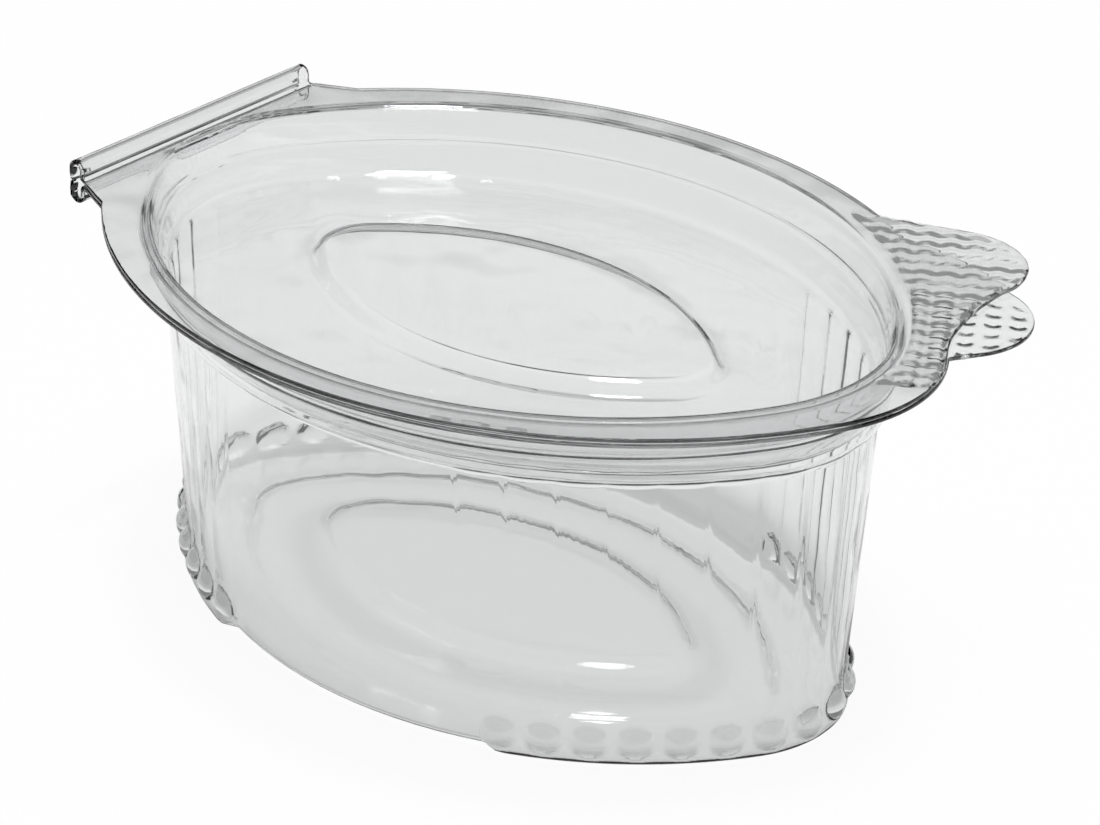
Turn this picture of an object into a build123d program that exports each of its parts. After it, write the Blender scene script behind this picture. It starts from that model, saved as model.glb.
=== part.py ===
"""Hinged oval sauce pot, formed from one thin clear sheet, with its lid closed. Millimetres, +Z up.

+X points to the rounded end beside the pull tabs, -X to the hinge, and Z is zero where the foot rests.
"""

from build123d import *
import math
import os

# The sheet and the closed pot
sheet = 0.4
pot_height = 38.0
lid_gap = 0.1

# Ovals are half length, half width and end radius
flange_length, flange_width, flange_end = 45.0, 34.0, 17.1
boss_length, boss_width, boss_end = 22.6, 12.2, 4.8
floor_boss_length, floor_boss_width, floor_boss_end = 22.5, 12.0, 5.0

# How far each oval down the wall lies inside the one above: in length, in width and in end radius
rim_step = (5.4, 3.1, -1.5)
collar_step = (0.8, 2.5, 2.4)
shoulder_step = (0.6, 0.8, 0.7)
wall_step = (0.5, 2.1, 3.7)

# The collar that the lid plugs into, and the foot
collar_drop = 7.15
bead_drop = 4.0
bead_half = 0.6
collar_bead = 0.35
plug_bead = 0.2
shoulder_drop = 0.7
plug_clearance = 0.35
plug_extra_draft = 0.1
plug_foot_gap = 0.05
foot_rise = 2.2
foot_inset = 1.6
ring_width = 4.2
floor_rise = 1.2
floor_slope = 1.6
floor_boss_rise = 0.8
floor_boss_slope = 1.2

# The raised oval in the lid
boss_rise = 1.5
boss_slope = 1.1

# Flutes stand in the wall round both ends, with a hollow pearl under each
flute_count = 16
flute_depth = 0.45
panel_half_top = 13.3
panel_half_base = 15.0
pearl_radius = 1.9
pearl_height = 2.25
pearl_inset = 0.55
dimple_radius = 1.2
dimple_height = 1.8

# The hinge roll, with its fold line along the outside, between ears that narrow towards it
hinge_seat = 0.9
roll_radius = 0.95
lid_roll_rise = 1.25
tub_roll_rise = 1.2
roll_half_length = 16.3
ear_half_width = 16.5
ear_root_half = 18.6
ear_length = 5.0

# The pull tabs, one lobe on the tub and one on the lid, stand beside the rounded end. Each lobe gives how
# far inside the flange's tip its middle lies, how far to one side, its radius, and half the root's width
tab_angle = 29.5
lid_lobe = (4.8, 5.6, 7.4, 15.0)
tub_lobe = (4.4, 4.4, 8.0, 19.0)
tab_root_depth = 15.0
notch_turn = 45.0
# Points of each web: how far inside the flange's tip, and how far to the other side
lid_web = ((1.8, 4.0), (3.6, 10.0), (3.8, 16.5))
tub_web = ((1.6, 4.7), (4.8, 7.6), (9.5, 10.3))
waffle_pitch = 2.3
waffle_base = 1.9
waffle_height = 0.5
waffle_taper = 35
waffle_depth = 7.6
waffle_margin = 0.2
waffle_columns = 5
waffle_rows = 8


def within(outer, step, share=1.0):
    """Sizes of an oval that lies inside another by a share of the step."""
    return tuple(size - share * change for size, change in zip(outer, step))


# Ovals, heights and lengths that follow from the sizes above
flange = (flange_length, flange_width, flange_end)
mouth = within(flange, rim_step)
collar_end = within(mouth, collar_step)
shoulder = within(collar_end, shoulder_step)
base = within(shoulder, wall_step)
boss = (boss_length, boss_width, boss_end)
floor_boss = (floor_boss_length, floor_boss_width, floor_boss_end)
lid_flange_z = pot_height - sheet
tub_flange_z = lid_flange_z - lid_gap - sheet
tub_top = tub_flange_z + sheet
collar_foot = pot_height - collar_drop
shoulder_z = collar_foot - shoulder_drop
panel_z = collar_foot + plug_foot_gap
hinge_end = mouth[0] + hinge_seat
nose = hinge_end + 2 * roll_radius - sheet
tab_turn = math.radians(tab_angle)
lobe_depth, lobe_offset, lobe_radius = tub_lobe[:3]
lobe_middle = (flange_length - lobe_depth) * math.cos(tab_turn) + lobe_offset * math.sin(tab_turn)
pot_x = (nose - max(lobe_middle + lobe_radius, flange_length)) / 2
lid_tab = (1, lid_lobe, lid_web)
tub_tab = (-1, tub_lobe, tub_web)


def level(z):
    """The plane at height z, centred on the pot's oval."""
    return Plane((pot_x, 0, z))


def join_of(length, width, end):
    """Radius of the side arc, and the angle at which it meets the end arc."""
    side = (length**2 - 2 * length * end + width**2) / (2 * (width - end))
    return side, math.atan2(side - width, length - end)


def oval(length, width, end, inset=0.0):
    """An oval of four tangent arcs, moved inward by inset."""
    a, b, r = length - inset, width - inset, end - inset
    side, turn = join_of(a, b, r)
    x = a - r + r * math.cos(turn)
    y = r * math.sin(turn)
    with BuildSketch() as shape:
        with BuildLine():
            ThreePointArc((x, -y), (a, 0), (x, y))
            ThreePointArc((x, y), (0, b), (-x, y))
            ThreePointArc((-x, y), (-a, 0), (-x, -y))
            ThreePointArc((-x, -y), (0, -b), (x, -y))
        make_face()
    return shape.sketch


def on_oval(length, width, end, travel):
    """The point and outward direction at a distance along the oval from its +X tip."""
    side, turn = join_of(length, width, end)
    far = abs(travel)
    if far < end * turn:
        angle = far / end
        x = length - end + end * math.cos(angle)
        y = end * math.sin(angle)
    else:
        angle = turn + (far - end * turn) / side
        x = side * math.cos(angle)
        y = side * math.sin(angle) - (side - width)
    sign = math.copysign(1, travel)
    return (x, sign * y), (math.cos(angle), sign * math.sin(angle))


def end_travel(length, width, end, panel_half):
    """Distance along the oval from its tip to where the smooth side panel begins."""
    side, turn = join_of(length, width, end)
    return end * turn + side * (math.acos(panel_half / side) - turn)


def fluted_oval(length, width, end, panel_half, inset=0.0):
    """The oval with an outward lobe for each flute round both ends, moved inward by inset."""
    a, b, r = length - inset, width - inset, end - inset
    reach = end_travel(a, b, r, panel_half)
    stops = [reach * (2 * i / flute_count - 1) for i in range(flute_count + 1)]
    grooves = [on_oval(a, b, r, s)[0] for s in stops]
    crests = []
    for low, high in zip(stops, stops[1:]):
        (x, y), (out_x, out_y) = on_oval(a, b, r, (low + high) / 2)
        crests.append((x + flute_depth * out_x, y + flute_depth * out_y))
    x, y = grooves[-1]
    with BuildSketch() as shape:
        with BuildLine():
            for start, crest, finish in zip(grooves, crests, grooves[1:]):
                ThreePointArc(start, crest, finish)
                ThreePointArc((-start[0], -start[1]), (-crest[0], -crest[1]), (-finish[0], -finish[1]))
            ThreePointArc((x, y), (0, b), (-x, y))
            ThreePointArc((-x, -y), (0, -b), (x, -y))
        make_face()
    return shape.sketch


def along_tab(reach, across):
    """A plan point by its distance out along the tab's centre line and across it."""
    x = reach * math.cos(tab_turn) - across * math.sin(tab_turn)
    y = reach * math.sin(tab_turn) + across * math.cos(tab_turn)
    return x, y


def tab_outline(side, lobe, web):
    """One pull tab: a full lobe on the given side of the centre line, and a low web on the other."""
    depth, offset, radius, root_half = lobe
    reach = flange_length - depth
    root = flange_length - tab_root_depth

    def on_lobe(angle):
        return along_tab(reach + radius * math.cos(angle), side * (offset + radius * math.sin(angle)))

    run, rise = root - reach, root_half - offset
    lean = math.atan2(rise, run) - math.acos(radius / math.hypot(run, rise))
    turn = math.radians(notch_turn)
    start = along_tab(root, side * root_half)
    edge = [along_tab(flange_length - inside, -side * across) for inside, across in web]
    with BuildSketch() as shape:
        with BuildLine():
            Line(start, on_lobe(lean))
            ThreePointArc(on_lobe(lean), on_lobe((lean - turn) / 2), on_lobe(-turn))
            Spline(on_lobe(-turn), *edge)
            Polyline(edge[-1], along_tab(root, -side * web[-1][1]), start)
        make_face()
    return shape.sketch


def rim_plate(tab):
    """Outline of a flange with its pull tab, cut straight at the hinge, where ears stand beside the roll."""
    ear = [(-hinge_end, ear_half_width), (ear_length - hinge_end, ear_root_half)]
    with BuildSketch() as shape:
        add(oval(*flange))
        with Locations((-hinge_end, 0)):
            Rectangle(flange_length, 2 * flange_width, align=(Align.MAX, Align.CENTER), mode=Mode.SUBTRACT)
        Polygon(*ear, *[(x, -y) for x, y in reversed(ear)], align=None)
        add(tab_outline(*tab))
    return shape.sketch


def waffle(tab):
    """Centres of the waffle's squares, on a grid in line with the tab, where each has room on the flange."""
    with BuildSketch() as land:
        add(rim_plate(tab))
        add(oval(*mouth, -sheet), mode=Mode.SUBTRACT)
    half = waffle_base / 2 + waffle_margin
    places = []
    for column in range(waffle_columns):
        reach = flange_length - waffle_depth + (column + 0.5) * waffle_pitch
        for row in range(-waffle_rows, waffle_rows):
            across = (row + 0.5) * waffle_pitch
            corners = [along_tab(reach + half * i, across + half * j) for i in (-1, 1) for j in (-1, 1)]
            if any(all(face.is_inside((x, y, 0)) for x, y in corners) for face in land.sketch.faces()):
                places.append(along_tab(reach, across))
    return places


def roll(way, seat, rise, inset):
    """Half of the hinge roll, seen along the hinge: way is 1 standing up from seat, -1 hanging down."""
    middle = pot_x - hinge_end - roll_radius + sheet
    radius = roll_radius - inset
    near, far = middle + radius, middle - radius
    top = seat + way * rise
    with BuildSketch(Plane.XZ) as shape:
        with BuildLine():
            ThreePointArc((far, top), (middle, top + way * radius), (near, top))
            Polyline((near, top), (near, seat), (far, seat), (far, top))
        make_face()
    return shape.sketch


def collar_oval(z, inset):
    """The inside of the collar at height z, moved inward by inset."""
    return oval(*within(mouth, collar_step, (tub_top - z) / (tub_top - collar_foot)), inset)


bead_z = pot_height - bead_drop
bead_levels = (bead_z - bead_half, bead_z, bead_z + bead_half)
pearl_travel = end_travel(*base, panel_half_base)
pearl_spots = []
for i in range(flute_count):
    spot, away = on_oval(*base, pearl_travel * ((2 * i + 1) / flute_count - 1))
    x, y = spot[0] - pearl_inset * away[0], spot[1] - pearl_inset * away[1]
    pearl_spots += [(pot_x + x, y, pearl_height), (pot_x - x, -y, pearl_height)]

# The tub: each form is added, and the same form one sheet smaller is then cut out of it
with BuildPart() as tub:
    for inset, mode in ((0.0, Mode.ADD), (sheet, Mode.SUBTRACT)):
        for z in (collar_foot, *bead_levels, tub_top):
            bead = collar_bead if z == bead_z else 0.0
            with BuildSketch(level(z)):
                add(collar_oval(z, inset - sheet - bead))
        loft(ruled=True, mode=mode)
        with BuildSketch(level(shoulder_z)):
            add(oval(*shoulder, inset))
        with BuildSketch(level(collar_foot)):
            add(collar_oval(collar_foot, inset - sheet))
        loft(ruled=True, mode=mode)
        with BuildSketch(level(foot_rise)):
            add(fluted_oval(*base, panel_half_base, inset))
        with BuildSketch(level(shoulder_z)):
            add(fluted_oval(*shoulder, panel_half_top, inset))
        loft(ruled=True, mode=mode)
        with BuildSketch(level(inset)):
            add(oval(*base, foot_inset + inset))
        with BuildSketch(level(foot_rise)):
            add(oval(*base, inset))
        loft(ruled=True, mode=mode)
        if mode == Mode.ADD:
            with Locations(*pearl_spots):
                Sphere(pearl_radius)
    with Locations(*pearl_spots):
        Cylinder(dimple_radius, dimple_height, mode=Mode.SUBTRACT)
    ring_inset = foot_inset + ring_width
    for inset, mode, lift in ((0.0, Mode.ADD, sheet), (sheet, Mode.SUBTRACT, 0.0)):
        with BuildSketch(level(0)):
            add(oval(*base, ring_inset + inset))
        with BuildSketch(level(floor_rise + lift)):
            add(oval(*base, ring_inset + floor_slope + inset))
        loft(ruled=True, mode=mode)
        with BuildSketch(level(floor_rise)):
            add(oval(*floor_boss, inset))
        with BuildSketch(level(floor_rise + floor_boss_rise + lift)):
            add(oval(*floor_boss, floor_boss_slope + inset))
        loft(ruled=True, mode=mode)
    with BuildSketch(level(tub_flange_z)):
        add(rim_plate(tub_tab))
        add(oval(*mouth), mode=Mode.SUBTRACT)
    extrude(amount=sheet)
    for inset, mode in ((0.0, Mode.ADD), (sheet, Mode.SUBTRACT)):
        extrude(roll(-1, tub_top, tub_roll_rise, inset), amount=roll_half_length, both=True, mode=mode)
    for z, mode in ((tub_flange_z, Mode.ADD), (tub_top, Mode.SUBTRACT)):
        with BuildSketch(Plane((pot_x, 0, z), x_dir=(1, 0, 0), z_dir=(0, 0, -1))):
            with Locations(*[(x, -y) for x, y in waffle(tub_tab)]):
                Rectangle(waffle_base, waffle_base, rotation=-tab_angle)
        extrude(amount=waffle_height, taper=waffle_taper, mode=mode)
tub.part.label = "tub"

# The lid: its plug, panel, raised oval and flange, made the same way
with BuildPart() as lid:
    for inset, mode, foot, top in (
        (0.0, Mode.ADD, panel_z, lid_flange_z),
        (sheet, Mode.SUBTRACT, panel_z + sheet, pot_height),
    ):
        for z in (foot, *bead_levels, top):
            bead = plug_bead if z == bead_z else 0.0
            draft = plug_extra_draft * (top - z) / (top - foot)
            with BuildSketch(level(z)):
                add(collar_oval(z, plug_clearance + draft - bead + inset))
        loft(ruled=True, mode=mode)
        if mode == Mode.ADD:
            with BuildSketch(level(lid_flange_z)):
                add(rim_plate(lid_tab))
            extrude(amount=sheet)
    for inset, mode, lift in ((0.0, Mode.ADD, sheet), (sheet, Mode.SUBTRACT, 0.0)):
        with BuildSketch(level(panel_z)):
            add(oval(*boss, inset - boss_slope))
        with BuildSketch(level(panel_z + boss_rise + lift)):
            add(oval(*boss, inset))
        loft(ruled=True, mode=mode)
    for inset, mode in ((0.0, Mode.ADD), (sheet, Mode.SUBTRACT)):
        extrude(roll(1, lid_flange_z, lid_roll_rise, inset), amount=roll_half_length, both=True, mode=mode)
    for z, mode in ((pot_height, Mode.ADD), (lid_flange_z, Mode.SUBTRACT)):
        with BuildSketch(level(z)):
            with Locations(*waffle(lid_tab)):
                Rectangle(waffle_base, waffle_base, rotation=tab_angle)
        extrude(amount=waffle_height, taper=waffle_taper, mode=mode)
lid.part.label = "lid"

os.makedirs("parts", exist_ok=True)
export_step(tub.part, "parts/tub.step")
export_step(lid.part, "parts/lid.step")
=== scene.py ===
"""Hinged oval sauce pot of thin clear sheet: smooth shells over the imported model, with studio and camera.

Sizes are millimetres until a mesh is made. +X points to the rounded end beside the pull tabs, +Z is up.
"""

import math

import bpy
import numpy as np
from mathutils import Matrix, Vector


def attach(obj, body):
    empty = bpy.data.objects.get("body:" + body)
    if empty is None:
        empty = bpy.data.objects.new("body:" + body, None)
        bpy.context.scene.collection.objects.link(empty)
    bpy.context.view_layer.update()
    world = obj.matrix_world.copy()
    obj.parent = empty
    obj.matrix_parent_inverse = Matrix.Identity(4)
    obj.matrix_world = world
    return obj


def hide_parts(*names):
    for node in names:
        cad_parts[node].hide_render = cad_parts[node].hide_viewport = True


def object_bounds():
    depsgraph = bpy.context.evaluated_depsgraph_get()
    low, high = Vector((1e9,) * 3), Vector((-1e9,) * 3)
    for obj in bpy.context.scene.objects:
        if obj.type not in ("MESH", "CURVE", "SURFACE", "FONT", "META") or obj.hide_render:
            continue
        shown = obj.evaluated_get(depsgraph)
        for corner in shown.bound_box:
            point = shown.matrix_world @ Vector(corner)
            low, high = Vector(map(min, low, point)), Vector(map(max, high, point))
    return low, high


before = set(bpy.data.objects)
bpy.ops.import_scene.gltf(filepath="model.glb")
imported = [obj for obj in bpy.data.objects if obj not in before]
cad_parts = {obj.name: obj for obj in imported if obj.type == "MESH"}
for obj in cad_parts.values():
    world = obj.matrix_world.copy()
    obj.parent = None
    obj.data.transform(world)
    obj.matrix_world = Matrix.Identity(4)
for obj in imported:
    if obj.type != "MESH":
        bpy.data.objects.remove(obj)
cad_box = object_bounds()

# A millimetre, in metres
mm = 0.001

# The sheet and the closed pot
sheet = 0.4
half = sheet / 2
pot_height = 38.0
lid_gap = 0.1

# Ovals are half length, half width and end radius, and the half length of the smooth side panel
flange = (45.0, 34.0, 17.1, 13.3)
mouth = (39.6, 30.9, 18.6, 13.3)
collar_end = (38.8, 28.4, 16.2, 13.3)
shoulder = (38.2, 27.6, 15.5, 13.3)
base = (37.7, 25.5, 11.8, 15.0)
lid_boss = (22.6, 12.2, 4.8, 8.0)
floor_boss = (22.5, 12.0, 5.0, 8.0)
centre = (1.2, 0.8, 0.3, 0.3)

# Heights of the flanges' middles, and of the collar with its bead and the lid's panel
lid_mid = pot_height - half
tub_mid = pot_height - sheet - lid_gap - half
tub_top = tub_mid + half
collar_foot = 30.85
shoulder_z = 30.15
panel_mid = 31.1
bead_z = 34.0
bead_half = 0.6

# How far the beads bulge, the air round the plug, the lean and rise of the ovals' sides, and how far the
# flat of each flange runs past the mouth before the outline starts to shape it
tub_bead = 0.35
lid_bead = 0.2
plug_air = 0.35
plug_lean = 0.1
lid_boss_lean = 1.1
lid_boss_rise = 1.5
floor_boss_lean = 1.2
tub_land = 1.0
lid_land = 1.2

# The floor's two levels. How far inside the base oval the floor ends, the foot ring starts and its bevel
# starts, and the heights where the bevel and the foot end
floor_mid = 1.4
floor_boss_mid = 2.2
floor_inset = 7.4
ring_inset = 5.8
bevel_inset = 0.7
bevel_top = 2.3
foot_top = 4.4

# Flutes and pearls, and the band round the foot that the pearls stand in, at its top and at its bottom
flute_count = 16
flute_depth = 0.32
flute_foot_depth = 0.1
groove_power = 10
pearl_radius = 2.1
pearl_height = 2.25
pearl_inset = 1.0
band_top = 0.15
band_bottom = 1.4

# The hinge, with its ears and roll
hinge_end = 40.5
roll_radius = 0.95
lid_roll_rise = 1.25
tub_roll_rise = 1.2
roll_half_length = 16.3
ear_half_width = 16.5
ear_root_half = 18.6
ear_length = 5.0
bend = 0.45
bend_start = hinge_end - half - bend
flat_from = 39.4
flat_share = 0.3

# The roll's nose, and with it the pot's centre along X, as the nose is the object's lowest X
hinge_nose = bend_start + bend + 2 * (roll_radius - half) + half
pot_x = cad_box[0][0] / mm + hinge_nose

# Each lobe of the pull tabs: how far inside the flange's tip its middle lies, how far to one side, its
# radius, and half the root's width. Each web: how far inside the flange's tip, and how far to the other side
tab_turn = math.radians(29.5)
lid_lobe = (4.8, 5.6, 7.4, 15.0)
tub_lobe = (4.4, 4.4, 8.0, 19.0)
lid_web = ((1.8, 4.0), (3.6, 10.0), (3.8, 16.5))
tub_web = ((1.6, 4.7), (4.8, 7.6), (9.5, 10.3))
tab_root_depth = 15.0
notch_turn = math.radians(45.0)

# The waffle: its pitch along and across the tab, its heights, how far out it starts, how far it reaches to
# each side, and the bare edge round it, with the share of that edge that stays quite flat
waffle_pitch = (2.3, 2.1)
lid_waffle = 0.36
tub_waffle = 0.4
waffle_start = 30.5
lid_waffle_ends = (-20.5, 15.5)
tub_waffle_ends = (-16.0, 1.0)
waffle_edge = 0.6
waffle_bare = 0.3

# How finely the shells are divided. The columns of a flute are packed towards its grooves, those of the
# blank's ends start near the bend and stand end_pitch apart, and an ear's rows reach most of the way out
flute_columns = 9
tab_flute_columns = 18
tab_flutes = (8, 15)
groove_packing = 0.6
panel_columns = 14
ear_columns = 8
ear_reach = 0.95
end_columns = 8
end_first = 0.02
end_pitch = 0.02
flat_rows = 9
flange_rows = 27
lobe_points = 60
web_points = 24
edge_corner = 0.12
edge_rows = 4
corner_limit = 0.45

# The plastic's refractive index, and the floor and the shares of its glow, in metres. The room's greys are
# how far a direction points to the bright side and how bright it is there, and the horizon is where its
# height changes from dark to light. A lamp has a place, a size and a power, in metres and watts
refraction = 1.5
floor_depth = 0.0004
floor_size = 6.0
floor_glow_seen = 0.95
floor_glow_reflected = 0.45
room_bright_side = (-0.51, 0.70, 0.50)
room_greys = ((0.05, 0.03), (0.5, 0.35), (0.85, 0.5))
room_horizon = (0.395, 0.43)
room_below_horizon = 0.1
white_through_plastic = 0.25
lamps = (("overhead", (0.0, 0.0, 0.6), 0.06, 2.4), ("front", (0.09, -0.12, 0.58), 0.12, 0.55))

# The photograph's view, from a fit of the model's edges to the photograph
photo_width = 1100
film_width = 36.0
focal = 3668.08
camera_angles = (37.15, 28.09, 2.14)
camera_distance = 351.0
camera_aim = (-40.11, -4.42)
camera_shift = (13.47, -3.51)
aim_height = 20.0


def join_of(length, width, end):
    """Radius of the side arc, and the angle at which it meets the end arc."""
    side = (length**2 - 2 * length * end + width**2) / (2 * (width - end))
    return side, np.arctan2(side - width, length - end)


def flute_places(first, counts):
    """Positions of the columns on a row of flutes, given the first flute's number and each one's columns.

    Columns stand closer together beside the grooves, where the flutes turn sharply: a column at t of its
    flute moves to t - packing sin(2 pi t) / (2 pi).
    """
    places = []
    for flute, count in enumerate(counts, first):
        t = np.arange(count) / count
        places.append((flute + t - groove_packing * np.sin(2 * math.pi * t) / (2 * math.pi)) / flute_count)
    return np.concatenate(places)


def columns():
    """Positions round the oval: each end and each panel is one unit, and the flutes share an end equally."""
    plain = [flute_columns] * flute_count
    finer = [tab_flute_columns] * (tab_flutes[1] - tab_flutes[0])
    beside_tabs = plain[:tab_flutes[0]] + finer + plain[tab_flutes[1]:]
    panel = np.arange(panel_columns) / panel_columns
    tab_end = flute_places(0, beside_tabs)
    far_end = flute_places(2 * flute_count, plain)
    return np.concatenate([tab_end, 1 + panel, far_end, 3 + panel])


def on_ovals(ovals, place):
    """Points and outward directions on ovals of four tangent arcs.

    ovals has one row of half length, half width, end radius and panel half length for each oval. The
    distance along an oval is linear in place within each end and each panel. That distance is folded into
    one quarter, read off the end arc or the side arc, and mirrored back.
    """
    length, width, end, panel = [ovals[:, i:i + 1] for i in range(4)]
    side, turn = join_of(length, width, end)
    quarter = end * turn + side * (math.pi / 2 - turn)
    reach = end * turn + side * (np.arccos(panel / side) - turn)
    in_end = reach * (2 * (place % 1) - 1)
    in_panel = reach + (place % 1) * 2 * (quarter - reach)
    travel = np.where(place % 2 < 1, in_end, in_panel) + np.where(place >= 2, 2 * quarter, 0)
    travel = travel % (4 * quarter)
    y_sign = np.where(travel < 2 * quarter, 1, -1)
    travel = np.minimum(travel, 4 * quarter - travel)
    x_sign = np.where(travel < quarter, 1, -1)
    travel = np.minimum(travel, 2 * quarter - travel)
    on_end = travel < end * turn
    angle = np.where(on_end, travel / end, turn + (travel - end * turn) / side)
    x = np.where(on_end, length - end + end * np.cos(angle), side * np.cos(angle))
    y = np.where(on_end, end * np.sin(angle), side * np.sin(angle) - (side - width))
    points = np.stack([x_sign * x, y_sign * y], -1)
    outward = np.stack([x_sign * np.cos(angle), y_sign * np.sin(angle)], -1)
    return points, outward


def key(oval, inset, z, flute=0.0, band=0.0, soft=0.5, turn_rows=3, run_rows=2):
    """A corner of a profile.

    It has an oval moved inward by inset, a height, and the depths of its flutes and band. Its rounding
    reaches soft millimetres and has turn_rows steps, and run_rows rows divide the run that leads to it.
    """
    length, width, end, panel = oval
    return (length - inset, width - inset, end - inset, panel, z, flute, band), soft, turn_rows, run_rows


def collar(z):
    """The oval of the inside of the collar at height z."""
    share = (tub_top - z) / (tub_top - collar_foot)
    return tuple(top + share * (foot - top) for top, foot in zip(mouth, collar_end))


def run_of(step):
    """Length of a step along a profile, from its change of width and height."""
    return math.hypot((step[0] + step[1]) / 2, step[4])


def profile(keys):
    """Rows of oval sizes, height, flute depth and band depth along a profile with rounded corners.

    Each corner becomes a quadratic curve that leaves the straight runs soft millimetres from the corner,
    or less where a run is short.
    """
    corners = np.array([k[0] for k in keys])
    rows = [corners[:1]]
    last = corners[0]
    for k in range(1, len(keys) - 1):
        _, soft, turn_rows, run_rows = keys[k]
        before, corner, after = corners[k - 1:k + 2]
        to_before = before - corner
        to_after = after - corner
        start = corner + to_before * min(corner_limit, soft / run_of(to_before))
        finish = corner + to_after * min(corner_limit, soft / run_of(to_after))
        run = np.linspace(0, 1, run_rows + 2)[1:-1, None]
        rows.append(last + run * (start - last))
        turn = np.linspace(0, 1, turn_rows + 1)[:, None]
        rows.append((1 - turn) ** 2 * start + 2 * turn * (1 - turn) * corner + turn**2 * finish)
        last = finish
    *_, run_rows = keys[-1]
    run = np.linspace(0, 1, run_rows + 2)[1:, None]
    rows.append(last + run * (corners[-1] - last))
    return np.concatenate(rows)


def swept(rows, place):
    """The surface of a profile carried round the ovals, with a rounded lobe for each flute.

    At s from a flute's crest (0) to its groove (1), the lobe is 1 - (1 + r) s^2 + r s^p with p the groove's
    power and r = 2 / (p - 2), so that it ends level in the groove. The band rises from nothing over the half
    flute beside each panel, as 3 t^2 - 2 t^3. The end under the hinge is flattened a little, which leaves
    room for the bend of the roll.
    """
    ovals, heights, flute, band_depth = np.split(rows, [4, 5, 6], axis=1)
    points, outward = on_ovals(ovals, place)
    from_crest = np.abs(2 * ((place * flute_count) % 1) - 1)
    rounding = 2 / (groove_power - 2)
    lobe = 1 - (1 + rounding) * from_crest**2 + rounding * from_crest**groove_power
    lobe = np.where(place % 2 < 1, lobe, 0)
    from_panel = np.minimum(place % 2, 1 - place % 2) * flute_count
    band = np.clip(from_panel * 2, 0, 1)
    band = band * band * (3 - 2 * band)
    points = points + outward * (flute * lobe + band_depth * band)[..., None]
    past = np.maximum(-points[..., 0] - flat_from, 0)
    points[..., 0] += past * (1 - flat_share)
    return np.dstack([points, np.broadcast_to(heights, points.shape[:2])])


def along_tab(reach, across):
    """Plan points by their distance out along the tab's centre line and across it."""
    x = reach * math.cos(tab_turn) - across * math.sin(tab_turn)
    y = reach * math.sin(tab_turn) + across * math.cos(tab_turn)
    return np.stack([x, y], -1)


def arc(middle, radius, start, finish, count):
    """Points of a circular arc between two angles."""
    angle = np.linspace(start, finish, count)
    return np.stack([middle[0] + radius * np.cos(angle), middle[1] + radius * np.sin(angle)], -1)


def smooth_through(points, count):
    """A curve through a few points, by Catmull-Rom pieces of equal count."""
    padded = np.concatenate([[2 * points[0] - points[1]], points, [2 * points[-1] - points[-2]]])
    t = np.linspace(0, 1, count, endpoint=False)[:, None]
    pieces = []
    for a, b, c, d in zip(padded, padded[1:], padded[2:], padded[3:]):
        square = 2 * a - 5 * b + 4 * c - d
        cube = 3 * b - a - 3 * c + d
        pieces.append(0.5 * (2 * b + (c - a) * t + square * t**2 + cube * t**3))
    return np.concatenate(pieces + [points[-1:]])


def tab_curve(way, lobe, web):
    """Outline of one pull tab in plan, from its low web, over the notch and the lobe, to its root."""
    depth, offset, radius, root_half = lobe
    reach = flange[0] - depth
    root = flange[0] - tab_root_depth
    run, rise = root - reach, root_half - offset
    lean = math.atan2(rise, run) - math.acos(radius / math.hypot(run, rise))
    rounded = arc((reach, offset), radius, -notch_turn, lean, lobe_points)
    corners = [(flange[0] - inside, -across) for inside, across in web]
    low = smooth_through(np.array([rounded[0]] + corners), web_points)[::-1]
    straight = np.linspace(rounded[-1], (root, root_half), lobe_points)[1:]
    curve = np.concatenate([[(root, corners[-1][1])], low[:-1], rounded, straight])
    return along_tab(curve[:, 0], way * curve[:, 1])[::way]


def resampled(curve, share):
    """Points at the given shares of a curve's length."""
    steps = np.linalg.norm(np.diff(curve, axis=0), axis=1)
    distance = np.concatenate([[0], np.cumsum(steps)])
    return np.stack([np.interp(share * distance[-1], distance, curve[:, i]) for i in range(2)], -1)


def with_tab(outline, place, curve):
    """The outline with a tab let into it, where the tab's curve lies outside it.

    Both are read as radius by angle about the pot's centre. Between the two places where they cross, the
    columns are spread evenly along the tab's curve.
    """
    angle = np.unwrap(np.arctan2(outline[:, 1], outline[:, 0]))
    radius = np.linalg.norm(outline, axis=1)
    curve_angle = np.unwrap(np.arctan2(curve[:, 1], curve[:, 0]))
    outside = np.linalg.norm(curve, axis=1) > np.interp(curve_angle, angle, radius)
    first, last = np.flatnonzero(outside)[[0, -1]]
    start, finish = np.interp(curve_angle[[first, last]], angle, place)
    inside = (place >= start) & (place <= finish)
    share = (place - start) / (finish - start)
    tab = resampled(curve[first:last + 1], np.clip(share, 0, 1))
    return np.where(inside[:, None], tab, outline)


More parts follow.
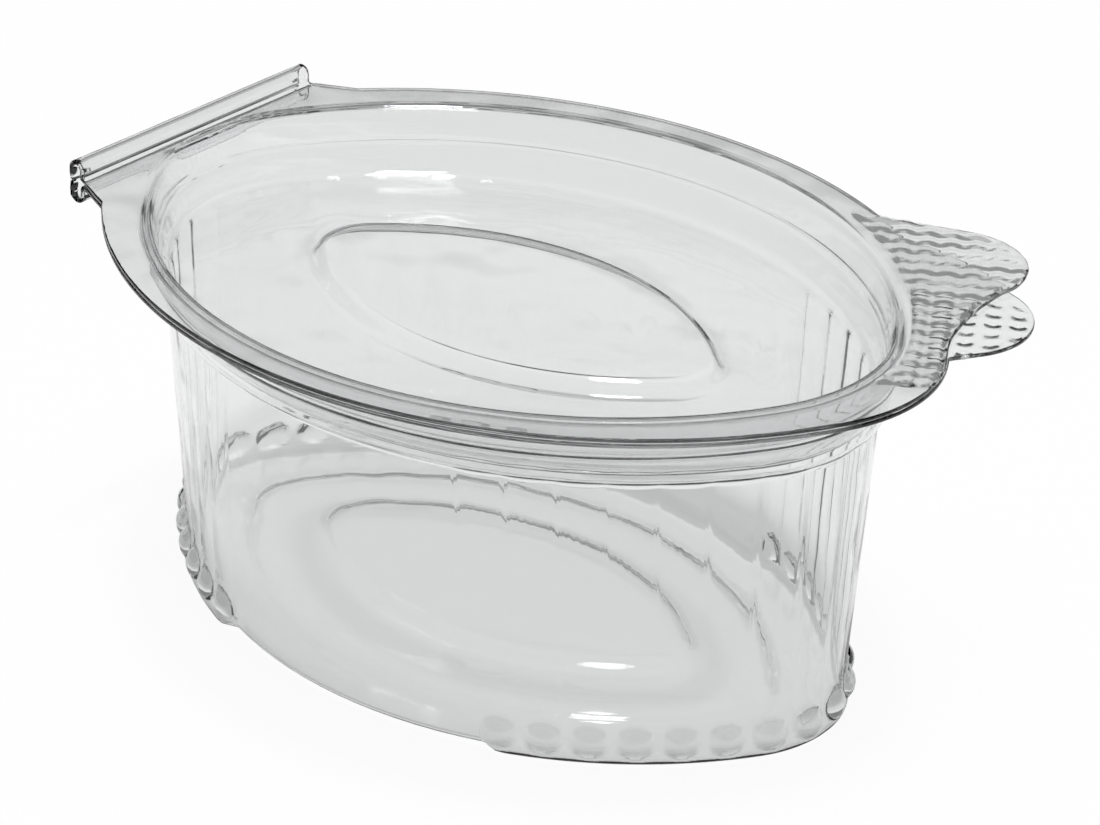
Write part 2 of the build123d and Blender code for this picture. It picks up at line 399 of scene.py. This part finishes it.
def with_flap(inner, outline, flap_length):
    """The outline with its ears and the flat blank of the roll, and the row where the blank starts to bend.

    The columns at each end of the blank are packed close together, so that the bend meets the ends square.
    """
    flat_reach = flat_rows / (flat_rows + flange_rows)
    row = inner + flat_reach * (outline - inner)
    hinge = np.flatnonzero((outline[:, 0] < 0) & (np.abs(outline[:, 1]) < ear_root_half))
    out = np.linspace(end_first, 1, end_columns)
    ear = np.stack([
        np.linspace(ear_length - hinge_end, -bend_start, ear_columns),
        np.linspace(ear_root_half, ear_half_width, ear_columns),
    ], -1)
    end = np.stack([
        -bend_start - flap_length * out,
        roll_half_length - end_pitch * np.arange(end_columns),
    ], -1)
    count = len(hinge) - 2 * (ear_columns + end_columns)
    middle = np.linspace(end[-1, 1], -end[-1, 1], count + 2)[1:-1]
    middle = np.stack([np.full(count, -bend_start - flap_length), middle], -1)
    outline = outline.copy()
    outline[hinge] = np.concatenate([ear, end, middle, end[::-1] * (1, -1), ear[::-1] * (1, -1)])
    bent_part = hinge[ear_columns:-ear_columns]
    row[bent_part] = np.stack([np.full(len(bent_part), -bend_start), outline[bent_part, 1]], -1)
    share = np.linspace(flat_reach, ear_reach, ear_columns)[:, None]
    for one_ear in (hinge[:ear_columns], hinge[::-1][:ear_columns]):
        row[one_ear] = inner[one_ear] + share * (outline[one_ear] - inner[one_ear])
    return row, outline


def bent(points, way, roll_rise):
    """The flat blank beyond the hinge line, bent into half a roll: way is 1 for up and over, -1 for down.

    Its length goes into a quarter turn, a straight rise, half a turn over the roll, and the way back down.
    """
    radius = roll_radius - half
    rise = roll_rise - half - bend
    quarter = bend * math.pi / 2
    past = np.maximum(-points[..., 0] - bend_start, 0)
    first = np.minimum(past, quarter) / bend
    up = np.clip(past - quarter, 0, rise)
    over = np.clip(past - quarter - rise, 0, radius * math.pi) / radius
    down = np.maximum(past - quarter - rise - radius * math.pi, 0)
    x = -bend_start - bend * np.sin(first) - radius * (1 - np.cos(over))
    z = bend * (1 - np.cos(first)) + up + radius * np.sin(over) - down
    bent_points = points.copy()
    bent_points[..., 0] = np.where(past > 0, x, points[..., 0])
    bent_points[..., 2] += way * np.where(past > 0, z, 0)
    return bent_points


def waffle(flat, inward, way):
    """Heights of the waffle over the plan, in line with the tab and dying out at its edges.

    With a and b the squared sines along and across the tab, the lid's height is (a + b) / 2, which makes
    waved rows, and the tub's is (a b)^2, which makes round dimples.
    """
    out = flat[..., 0] * math.cos(tab_turn) + flat[..., 1] * math.sin(tab_turn)
    across = flat[..., 1] * math.cos(tab_turn) - flat[..., 0] * math.sin(tab_turn)
    along = np.sin(math.pi * out / waffle_pitch[0]) ** 2
    athwart = np.sin(math.pi * across / waffle_pitch[1]) ** 2
    if way > 0:
        height = lid_waffle * (along + athwart) / 2
        ends = lid_waffle_ends
    else:
        height = tub_waffle * (along * athwart) ** 2
        ends = tub_waffle_ends
    room = np.clip(inward / waffle_edge - waffle_bare, 0, 1) * (out > waffle_start)
    room = room * np.clip(across - ends[0], 0, 1) * np.clip(ends[1] - across, 0, 1)
    return height * room


def plate(inner, place, way, lobe, web, roll_rise):
    """The flange from the mouth's last row to its outline with the pull tab and its half of the hinge roll.

    It comes back twice, bare and with the waffle, for the two faces of the sheet.
    """
    outline = on_ovals(np.array([flange]), place)[0][0]
    outline = with_tab(outline, place, tab_curve(way, lobe, web))
    flap_length = bend * math.pi / 2 + 2 * roll_rise - half - bend + (roll_radius - half) * math.pi
    row, outline = with_flap(inner[:, :2], outline, flap_length)
    near = np.arange(1, flat_rows + 1)[:, None, None] / flat_rows
    far = np.arange(1, flange_rows + 1)[:, None, None] / flange_rows
    flat = np.concatenate([inner[:, :2] + near * (row - inner[:, :2]), row + far * (outline - row)])
    to_mouth = np.linalg.norm(flat - inner[:, :2], axis=-1)
    to_edge = np.linalg.norm(flat - outline, axis=-1)
    points = np.dstack([flat, np.broadcast_to(inner[:, 2], flat.shape[:2])])
    points = bent(points, way, roll_rise)
    waffled = points.copy()
    waffled[..., 2] += way * waffle(flat, np.minimum(to_mouth, to_edge), way)
    return points, waffled


def normals(surface):
    """Unit normals of a grid that closes on itself round its columns, on the side that faces into the pot."""
    along = np.gradient(surface, axis=0)
    round_it = np.roll(surface, -1, 1) - np.roll(surface, 1, 1)
    normal = np.cross(along, round_it)
    return normal / np.linalg.norm(normal, axis=-1, keepdims=True)


def pearled(surface, place):
    """The surface with its foot pushed outward onto a ball under each flute.

    Each point moves along the surface's outward direction. With d how far it lies beyond the ball's middle
    that way, g its distance from that middle and r the ball's radius, it moves sqrt(r^2 - g^2 + d^2) - d.
    Only points close to a ball move.
    """
    centre_place = (np.floor(place * flute_count) + 0.5) / flute_count
    centres, outward = on_ovals(np.array([base]), np.where(place % 2 < 1, centre_place, 0))
    centres = (centres - pearl_inset * outward)[0]
    centres = np.column_stack([centres, np.full(len(centres), pearl_height)])
    out = -normals(surface)
    gap = surface - centres
    depth = (gap * out).sum(-1)
    inside = (pearl_radius - half) ** 2 - (gap**2).sum(-1) + depth**2
    push = np.maximum(np.sqrt(np.maximum(inside, 0)) - depth, 0)
    close = (np.abs(gap).max(-1) < 2 * pearl_radius) & (inside > 0) & (place % 2 < 1)
    return surface + out * np.where(close, push, 0)[..., None]


def shell(upper_middle, lower_middle):
    """A closed shell: one side, a rounded edge, and the other side back to the centre.

    Each side lies half the sheet's thickness from its own middle surface. The two are one surface, apart from
    where the sheet is thicker: under the waffle and behind the pearls.
    """
    normal = normals(upper_middle)[-1]
    edge_out = upper_middle[-1] - upper_middle[-2]
    edge_out = edge_out / np.linalg.norm(edge_out, axis=-1, keepdims=True)
    angle = np.linspace(0, math.pi / 2, edge_rows)[:, None, None]
    run = edge_corner * (np.sin(angle) - 1)
    rise = half - edge_corner + edge_corner * np.cos(angle)
    upper = upper_middle[-1] + run * edge_out + rise * normal
    lower = upper_middle[-1] + run * edge_out - rise * normal
    above = upper_middle + half * normals(upper_middle)
    below = lower_middle - half * normals(lower_middle)
    return np.concatenate([above[:-1], upper, lower[::-1], below[-2::-1]])


def tub_surface(place):
    """The tub's shell, from the centre of its floor to the edge of its flange and back underneath."""
    wall = swept(profile([
        key(centre, 0, floor_boss_mid),
        key(floor_boss, floor_boss_lean + half, floor_boss_mid, soft=0.9, run_rows=3),
        key(floor_boss, half, floor_mid, soft=0.9),
        key(base, floor_inset, floor_mid, soft=1.2),
        key(base, ring_inset, half, soft=0.9),
        key(base, bevel_inset + half, half, band=band_bottom, soft=0.8, run_rows=3),
        key(base, half, bevel_top, flute_foot_depth, band_top, soft=1.0, turn_rows=6, run_rows=4),
        key(base, half, foot_top, flute_foot_depth, soft=0.6, run_rows=4),
        key(shoulder, half, shoulder_z, flute_depth, soft=0.4, run_rows=1),
        key(collar_end, -half, collar_foot, soft=0.4),
        key(collar(bead_z - bead_half), -half, bead_z - bead_half, soft=0.4),
        key(collar(bead_z), -half - tub_bead, bead_z, soft=0.4, run_rows=1),
        key(collar(bead_z + bead_half), -half, bead_z + bead_half, soft=0.4, run_rows=1),
        key(mouth, -half, tub_mid, soft=0.7),
        key(mouth, -half - tub_land, tub_mid, run_rows=0),
    ]), place)
    flat, dimpled = plate(wall[-1], place, -1, tub_lobe, tub_web, tub_roll_rise)
    return shell(np.concatenate([wall, flat]), np.concatenate([pearled(wall, place), dimpled]))


def lid_surface(place):
    """The lid's shell, from the centre of its raised oval to the edge of its flange and back underneath."""
    clear = plug_air + half
    wall = swept(profile([
        key(centre, 0, panel_mid + lid_boss_rise),
        key(lid_boss, half, panel_mid + lid_boss_rise, run_rows=4),
        key(lid_boss, -lid_boss_lean + half, panel_mid),
        key(collar_end, plug_lean + clear, panel_mid, soft=0.9, run_rows=6),
        key(collar(bead_z - bead_half), clear, bead_z - bead_half, soft=0.4),
        key(collar(bead_z), clear - lid_bead, bead_z, soft=0.4, run_rows=1),
        key(collar(bead_z + bead_half), clear, bead_z + bead_half, soft=0.4, run_rows=1),
        key(mouth, clear, lid_mid, soft=0.9),
        key(mouth, clear - lid_land, lid_mid, run_rows=0),
    ]), place)
    flat, raised = plate(wall[-1], place, 1, lid_lobe, lid_web, lid_roll_rise)
    return shell(np.concatenate([wall, raised]), np.concatenate([wall, flat]))


def mesh_of(name, surface):
    """A closed mesh from a grid of rows by columns: neighbours make quads, and a fan closes each pole."""
    rows, count = surface.shape[:2]
    poles = np.stack([surface[0].mean(0), surface[-1].mean(0)])
    vertices = np.concatenate([surface.reshape(-1, 3), poles]) + (pot_x, 0, 0)
    row = np.arange(rows - 1)[:, None] * count
    column = np.arange(count)[None]
    following = (column + 1) % count
    quads = np.stack([row + column, row + count + column, row + count + following, row + following], -1)
    first = np.stack([np.full(count, rows * count), column[0], following[0]], -1)
    last = np.stack([np.full(count, rows * count + 1), following[0], column[0]], -1)
    last[:, 1:] += (rows - 1) * count
    mesh = bpy.data.meshes.new(name)
    faces = quads.reshape(-1, 4).tolist() + first.tolist() + last.tolist()
    mesh.from_pydata((vertices * mm).tolist(), [], faces)
    mesh.shade_smooth()
    piece = bpy.data.objects.new(name, mesh)
    bpy.context.scene.collection.objects.link(piece)
    return piece


def grey(value):
    """A grey as a colour."""
    return (value, value, value, 1)


def new_node(tree, kind, *settings):
    """A new shader node. Each setting is the name or number of an input, and its value."""
    node = tree.nodes.new("ShaderNode" + kind)
    for name, value in settings:
        node.inputs[name].default_value = value
    return node


def maths(tree, operation, *settings):
    """A new shader node that calculates."""
    node = new_node(tree, "Math", *settings)
    node.operation = operation
    return node


def mixed(tree, share, first, second):
    """The output of a node that mixes two shaders, where a share of 1 gives all of the second."""
    mix = new_node(tree, "MixShader")
    for number, source in enumerate((share, first, second)):
        tree.links.new(source, mix.inputs[number])
    return mix.outputs["Shader"]


def clear_plastic():
    """Clear glossy sheet with a faint long-wave ripple from forming, which darkens with depth.

    Shadow rays pass. They lose little where they meet the sheet squarely, and most where they graze it.
    """
    material = bpy.data.materials.new("clear_sheet")
    material.use_nodes = True
    tree = material.node_tree
    links = tree.links
    output = tree.nodes["Material Output"]
    plastic = tree.nodes["Principled BSDF"]
    plastic.inputs["Base Color"].default_value = (0.98, 0.985, 0.985, 1)
    plastic.inputs["Roughness"].default_value = 0.0
    plastic.inputs["IOR"].default_value = refraction
    plastic.inputs["Transmission Weight"].default_value = 1.0
    position = new_node(tree, "TexCoord")
    ripple = new_node(tree, "TexNoise", ("Scale", 140.0), ("Detail", 1.0))
    bump = new_node(tree, "Bump", ("Strength", 0.12), ("Distance", 0.001))
    links.new(position.outputs["Object"], ripple.inputs["Vector"])
    links.new(ripple.outputs["Fac"], bump.inputs["Height"])
    links.new(bump.outputs["Normal"], plastic.inputs["Normal"])
    grazing = new_node(tree, "Fresnel", ("IOR", refraction))
    square_on = new_node(tree, "BsdfTransparent", ("Color", grey(0.985)))
    turned_away = new_node(tree, "BsdfTransparent", ("Color", grey(0.1)))
    shadow = mixed(tree, grazing.outputs["Fac"], square_on.outputs["BSDF"], turned_away.outputs["BSDF"])
    depth = new_node(tree, "VolumeAbsorption", ("Color", (0.0, 0.04, 0.04, 1)), ("Density", 90.0))
    links.new(depth.outputs["Volume"], output.inputs["Volume"])
    path = new_node(tree, "LightPath")
    surface = mixed(tree, path.outputs["Is Shadow Ray"], plastic.outputs["BSDF"], shadow)
    links.new(surface, output.inputs["Surface"])
    return material


def white_floor():
    """A pale floor just under the pot, lit like any other, which also glows white.

    Rays from the camera see almost only the glow, with a faint shadow, and rays that the pot reflects or
    bends see somewhat less than half of it.
    """
    bpy.ops.mesh.primitive_plane_add(size=floor_size, location=(0, 0, 0))
    floor = bpy.context.object
    floor.name = "floor"
    floor.data.transform(Matrix.Translation((0, 0, -floor_depth)))
    material = bpy.data.materials.new("white_floor")
    material.use_nodes = True
    tree = material.node_tree
    links = tree.links
    tree.nodes.clear()
    path = new_node(tree, "LightPath")
    seen = maths(tree, "MULTIPLY", (1, floor_glow_seen))
    by_pot = maths(tree, "MAXIMUM")
    reflected = maths(tree, "MULTIPLY", (1, floor_glow_reflected))
    share = maths(tree, "ADD")
    paint = new_node(tree, "BsdfDiffuse", ("Color", grey(0.9)))
    glow = new_node(tree, "Emission", ("Strength", 1.0))
    output = new_node(tree, "OutputMaterial")
    links.new(path.outputs["Is Camera Ray"], seen.inputs[0])
    links.new(path.outputs["Is Glossy Ray"], by_pot.inputs[0])
    links.new(path.outputs["Is Transmission Ray"], by_pot.inputs[1])
    links.new(by_pot.outputs["Value"], reflected.inputs[0])
    links.new(seen.outputs["Value"], share.inputs[0])
    links.new(reflected.outputs["Value"], share.inputs[1])
    surface = mixed(tree, share.outputs["Value"], paint.outputs["BSDF"], glow.outputs["Emission"])
    links.new(surface, output.inputs["Surface"])
    floor.data.materials.append(material)


def studio():
    """A grey room, dark low down and brighter to one side, which is white to the camera.

    A ray that comes through the plastic sees a share of that white too.
    """
    world = bpy.data.worlds.new("studio")
    bpy.context.scene.world = world
    world.use_nodes = True
    tree = world.node_tree
    links = tree.links
    tree.nodes.clear()
    direction = new_node(tree, "TexCoord")
    to_bright_side = new_node(tree, "VectorMath", (1, room_bright_side))
    to_bright_side.operation = "DOT_PRODUCT"
    ramp = new_node(tree, "ValToRGB")
    stops = ramp.color_ramp.elements
    stops.new(room_greys[1][0])
    for stop, (towards, brightness) in zip(stops, room_greys):
        stop.position = towards
        stop.color = grey(brightness)
    height = new_node(tree, "SeparateXYZ")
    horizon = new_node(
        tree, "MapRange",
        ("From Min", room_horizon[0]),
        ("From Max", room_horizon[1]),
        ("To Min", room_below_horizon),
    )
    room = new_node(tree, "Background")
    white = new_node(tree, "Background", ("Strength", 1.0))
    path = new_node(tree, "LightPath")
    share = maths(tree, "MULTIPLY_ADD", (1, white_through_plastic))
    output = new_node(tree, "OutputWorld")
    links.new(direction.outputs["Generated"], to_bright_side.inputs[0])
    links.new(to_bright_side.outputs["Value"], ramp.inputs["Fac"])
    links.new(ramp.outputs["Color"], room.inputs["Color"])
    links.new(direction.outputs["Generated"], height.inputs["Vector"])
    links.new(height.outputs["Z"], horizon.inputs["Value"])
    links.new(horizon.outputs["Result"], room.inputs["Strength"])
    links.new(path.outputs["Is Transmission Ray"], share.inputs[0])
    links.new(path.outputs["Is Camera Ray"], share.inputs[2])
    surface = mixed(tree, share.outputs["Value"], room.outputs["Background"], white.outputs["Background"])
    links.new(surface, output.inputs["Surface"])


def lamp(name, position, size, power):
    """A square area lamp that points at the pot."""
    light = bpy.data.lights.new(name, "AREA")
    light.size = size
    light.energy = power
    holder = bpy.data.objects.new(name, light)
    holder.location = position
    aim = Vector((0, 0, aim_height * mm)) - Vector(position)
    holder.rotation_euler = aim.to_track_quat("-Z", "Y").to_euler()
    bpy.context.scene.collection.objects.link(holder)


def camera():
    """The photograph's view, from angles, distance, focal length and aim that were fitted to the pot."""
    azimuth, elevation, roll = [math.radians(v) for v in camera_angles]
    back = Vector((
        math.sin(azimuth) * math.cos(elevation),
        -math.cos(azimuth) * math.cos(elevation),
        math.sin(elevation),
    ))
    right = Vector((math.cos(azimuth), math.sin(azimuth), 0))
    up = back.cross(right)
    level = right * math.cos(roll) + up * math.sin(roll)
    upright = up * math.cos(roll) - right * math.sin(roll)
    across, down = camera_aim[0] - camera_shift[0], camera_aim[1] - camera_shift[1]
    aim = (-back * focal + level * across + upright * down).normalized()
    eye = Vector((pot_x, 0, aim_height)) - aim * camera_distance
    view = bpy.data.cameras.new("camera")
    view.sensor_width = film_width
    view.lens = film_width * focal / photo_width
    view.shift_x = -camera_shift[0] / photo_width
    view.shift_y = -camera_shift[1] / photo_width
    view.clip_start = 0.01
    holder = bpy.data.objects.new("camera", view)
    turn = Matrix((level, upright, back)).transposed()
    holder.matrix_world = Matrix.Translation(eye * mm) @ turn.to_4x4()
    bpy.context.scene.collection.objects.link(holder)
    bpy.context.scene.camera = holder


place = columns()
plastic = clear_plastic()
for name, surface in (("tub_shell", tub_surface(place)), ("lid_shell", lid_surface(place))):
    piece = mesh_of(name, surface)
    piece.data.materials.append(plastic)
    body = name.split("_")[0]
    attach(piece, body)
    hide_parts(body)

white_floor()
studio()
for name, position, size, power in lamps:
    lamp(name, position, size, power)
camera()
scene = bpy.context.scene
scene.view_settings.view_transform = "Standard"
scene.cycles.max_bounces = 20
scene.cycles.transmission_bounces = 20
scene.cycles.glossy_bounces = 12
scene.cycles.transparent_max_bounces = 32
scene.cycles.caustics_refractive = False
scene.cycles.caustics_reflective = False

bpy.context.view_layer.update()
